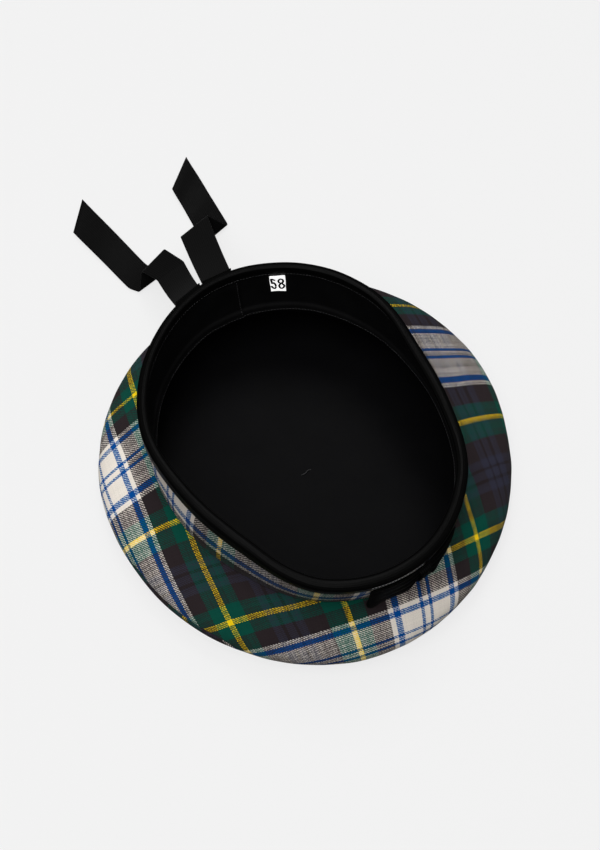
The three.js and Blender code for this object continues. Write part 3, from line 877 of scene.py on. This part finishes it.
flat = np.stack(np.broadcast_arrays(KNOT_HALF_CUT * across, girth[:, None]), axis=-1)
knot = lay("bow_knot_ribbon", placed, flat)
thicken(knot, BOW_THICK, BOW_ROUND)
knot.data.materials.append(bow_shade_painted_ribbon)
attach(knot, "root")
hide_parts("bow_knot")

# Tails. Two ends of the same ribbon, sewn to the binding at the back; each comes down in soft folds
# and lies on the table, and is cut off at a slant.
TAIL_WIDE = 19
TAIL_THICK = 0.6
TAIL_SEWN = np.array([43.5, 37.5])  # heights up the headband between which it is sewn
TAIL_OFF = 1.95  # how far it stands off the headband there
CREASE = 3  # how far from a crease it begins to bend
TAIL_SAG = 2.4
TAIL_BUCKLE, TAIL_CURL = 1.0, 1.4  # how far its last stretch and its end come up off the table
# its creases and its end: place of the middle, heading of the line across it in degrees,
# length of that line, and how much higher its far end is
TAIL_LEFT = [
    (-1.1, 148.8, 32.5, 4.4, 21.1, 1),
    (-3.2, 168.6, 21.5, 16.1, 21.5, 1),
    (-8.2, 164.8, 1.5, 4.9, 20.2, 0),
    (-13.2, 175.7, 1, 25.9, 21.1, 0),
    (-21.2, 238.3, 1, 46, 27, 0),
]
TAIL_RIGHT = [
    (32.9, 175.7, 21, 9.4, 23.8, 0),
    (46.1, 171.6, 1.5, 10.1, 24, 0),
    (49.8, 193.7, 1, 23, 24, 0),
    (53.6, 228.7, 1, 37, 28, 0),
]
for name, node, at, rows in (
    ("tail_left_ribbon", "tail_left", 96.6, TAIL_LEFT),
    ("tail_right_ribbon", "tail_right", 85.4, TAIL_RIGHT),
):
    half = TAIL_WIDE / 2 / radius(RIM, math.radians(at))
    sides = math.radians(at) + half * np.array([1, 0, -1])
    sewn = turned(on_band(sides, TAIL_SEWN, -TAIL_OFF), sides)
    middles = [sewn[1, 0], sewn[1, 1]]
    reaches = [(sewn[2, 0] - sewn[0, 0]) / 2, (sewn[2, 1] - sewn[0, 1]) / 2]
    for x, y, z, heading, wide, rise in rows:
        level = math.sqrt(wide**2 - rise**2)
        heading = math.radians(heading)
        middles.append(np.array([x, y, z]))
        reaches.append(np.array([level * math.cos(heading), level * math.sin(heading), rise]) / 2)
    marks = np.concatenate([middles, reaches], axis=1)
    path = [marks[0]]
    for before, here, after in zip(marks, marks[1:], marks[2:]):
        start, end = (
            here + (other - here) * min(CREASE / np.linalg.norm((other - here)[:3]), 0.45)
            for other in (before, after)
        )
        path += [path[-1] + (start - path[-1]) * t for t in np.linspace(0, 1, 16)[1:-1]]
        for t in np.linspace(0, 1, 13):
            path.append((1 - t) ** 2 * start + 2 * t * (1 - t) * here + t * t * end)
    path += [path[-1] + (marks[-1] - path[-1]) * t for t in np.linspace(0, 1, 20)[1:]]
    path = np.array(path)
    # it hangs a little slack from the rim, and its end curls up off the table
    girth, creases = run_of(path[:, :3]), run_of(marks[:, :3])
    hung = np.clip((girth - creases[1]) / (creases[2] - creases[1]), 0, 1)
    lies = np.clip((girth - creases[-2]) / (girth[-1] - creases[-2]), 0, 1)
    path[:, 2] += TAIL_BUCKLE * np.sin(math.pi * lies) ** 2 + TAIL_CURL * lies**3
    path[:, 2] -= TAIL_SAG * np.sin(math.pi * hung)
    across = np.linspace(-1, 1, 17)[None, :, None]
    placed = path[:, None, :3] + path[:, None, 3:] * across
    out = np.cross(np.gradient(path[:, :3], axis=0), path[:, 3:])
    out = out / np.linalg.norm(out, axis=1, keepdims=True)
    placed = placed - out[:, None] * TAIL_THICK / 2
    flat = np.stack(np.broadcast_arrays(across[..., 0] * TAIL_WIDE / 2, girth[:, None]), axis=-1)
    tail = lay(name, placed, flat, closed=False)
    thicken(tail, TAIL_THICK, 0.2)
    tail.data.materials.append(loose_ribbon)
    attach(tail, "root")
    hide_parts(node)

# Size label. A little tag of white woven tape, glued to the sweatband at the back. It was cut by hand,
# so its edges aren't quite straight.
LABEL_AT = math.radians(65.7)
LABEL_HEIGHT = 28.4  # height of its middle up the headband
LABEL_HALF_WIDE, LABEL_HALF_TALL = 4.75, 7.6
LABEL_DEPTH, LABEL_THICK = 3.6, 0.35
label_radius = radius(RIM, LABEL_AT) - LABEL_DEPTH


def on_label(x, y, depth):
    """Points on the label by their place from its middle, to the right and up as it is read."""
    angle = LABEL_AT - x.ravel() / label_radius
    spot = on_band(angle, LABEL_HEIGHT + y.reshape(-1, 1), np.full((x.size, 1), depth))
    return turned(spot, angle).reshape(*x.shape, 3)


across = np.linspace(-1, 1, 25)[:, None]
up = np.linspace(-1, 1, 33)[None, :]
x = (LABEL_HALF_WIDE + 0.12 * np.sin(3 * up + 0.5)) * across - 0.25 * up
y = (LABEL_HALF_TALL + 0.22 * np.sin(2.2 * across - 0.6)) * up
placed = on_label(x, y, LABEL_DEPTH)
flat = np.stack([x, y], axis=-1)
label = lay("size_label_tag", placed, flat, closed=False)
thicken(label, LABEL_THICK, 0.12)
# Bleached cotton tape, plain woven: white and matt, with a fine grid of threads.
# It is given a painted glow, light of its own that makes it brighter than the lamps light it.
TAPE_THREAD = 0.45  # from thread to thread
tape, tree, shader = new_finish("white_woven_tape")
cloth = add(tree, "ShaderNodeUVMap")
pitch = math.pi / (TAPE_THREAD * MM)
sized = add(tree, "ShaderNodeVectorMath", {0: cloth, "Scale": pitch}, operation="SCALE")
split = add(tree, "ShaderNodeSeparateXYZ", {0: sized})
warps = add(tree, "ShaderNodeMath", {0: split.outputs[0]}, operation="SINE")
wefts = add(tree, "ShaderNodeMath", {0: split.outputs[1]}, operation="SINE")
grid = add(tree, "ShaderNodeMath", {0: warps, 1: wefts}, operation="MULTIPLY")
raised = add(tree, "ShaderNodeMapRange", {"Value": grid, "From Min": -1.0, "From Max": 1.0})
whites = {"Factor": raised, "A": linear("#F8F8F6"), "B": linear("#FFFFFF")}
tone = add(tree, "ShaderNodeMix", whites, data_type="RGBA")
tree.links.new(tone.outputs["Result"], shader.inputs["Base Color"])
relief = add(tree, "ShaderNodeBump", {"Strength": 0.3, "Distance": 0.05 * MM, "Height": grid})
tree.links.new(relief.outputs[0], shader.inputs["Normal"])
shader.inputs["Roughness"].default_value = 0.85
shader.inputs["Specular IOR Level"].default_value = 0.3
# painted glow: the tape gives off light, so that it looks brighter than it is lit
shader.inputs["Emission Color"].default_value = linear("#FFFFFF")
shader.inputs["Emission Strength"].default_value = 0.7
label.data.materials.append(tape)
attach(label, "root")
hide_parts("size_label")

# Size number. Two figures drawn on the label with a fine black pen, a head size in centimetres.
# The ink is a thin film on the tape, and each stroke goes smoothly through its points.
PEN = 1.35  # width of its line
INK_PROUD, INK_THICK = 0.07, 0.05
FIGURES_LEFT = 0.3  # how far the two figures are moved to the left
FIGURES = [
    # 5
    [(-1.1, 2.98), (-2.48, 3.98), (-3.7, 4.66), (-3.49, 2.19)]
    + [(-3.12, 0.4), (-2.16, 0.79), (-1.21, -1.28), (-1, -3.3)],
    [(-1, -3.3), (-1.63, -4.75), (-2.91, -3.86), (-3.75, -1.95)],
    # 8
    [(2.29, -0.05), (0.91, 1.07), (0.75, 2.86), (1.97, 4.32), (3.4, 3.31), (3.45, 1.3), (2.29, -0.05)],
    [(2.29, -0.05), (1.12, -1.84), (1.44, -4.19), (2.61, -4.98)]
    + [(3.77, -3.97), (4.2, -2.29), (3.35, -0.94), (2.29, -0.05)],
]
strokes = []
for marks in FIGURES:
    marks = np.array(marks)
    marks = np.concatenate([[2 * marks[0] - marks[1]], marks, [2 * marks[-1] - marks[-2]]])
    t = np.linspace(0, 1, 9)[:-1, None]
    line = [through(a, b, c, d, t) for a, b, c, d in zip(marks, marks[1:], marks[2:], marks[3:])]
    line = np.concatenate([*line, marks[-2:-1]])
    run = np.gradient(line, axis=0)
    side = np.stack([-run[:, 1], run[:, 0]], axis=-1) / np.linalg.norm(run, axis=1, keepdims=True)
    full = np.sqrt(np.clip(1 - np.linspace(-1, 1, len(line)) ** 16, 0.05, 1))[:, None, None]
    wide = np.linspace(-PEN / 2, PEN / 2, 5)[None, :, None]
    inked = line[:, None] + side[:, None] * wide * full - (FIGURES_LEFT, 0)
    placed = on_label(inked[..., 0], inked[..., 1], LABEL_DEPTH + INK_PROUD)
    stroke = lay("size_number_stroke", placed, inked, closed=False)
    thicken(stroke, INK_THICK, 0.01)
    strokes.append(stroke)
bpy.ops.object.select_all(action="DESELECT")
for stroke in strokes:
    stroke.select_set(True)
bpy.context.view_layer.objects.active = strokes[0]
bpy.ops.object.join()
number = bpy.context.object
number.name = "size_number"
number.data.name = "size_number"
# Laundry ink: black, soaked into the tape, a little uneven.
BLOT = 0.667  # from blot to blot
ink, tree, shader = new_finish("black_laundry_ink")
cloth = add(tree, "ShaderNodeUVMap")
spots = {"Vector": cloth, "Scale": 1 / (BLOT * MM), "Detail": 2.0}
blots = add(tree, "ShaderNodeTexNoise", spots, noise_dimensions="2D")
blacks = {"Factor": blots, "A": linear("#050506"), "B": linear("#141416")}
tone = add(tree, "ShaderNodeMix", blacks, data_type="RGBA")
tree.links.new(tone.outputs["Result"], shader.inputs["Base Color"])
shader.inputs["Roughness"].default_value = 0.8
shader.inputs["Specular IOR Level"].default_value = 0.1
number.data.materials.append(ink)
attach(number, "root")
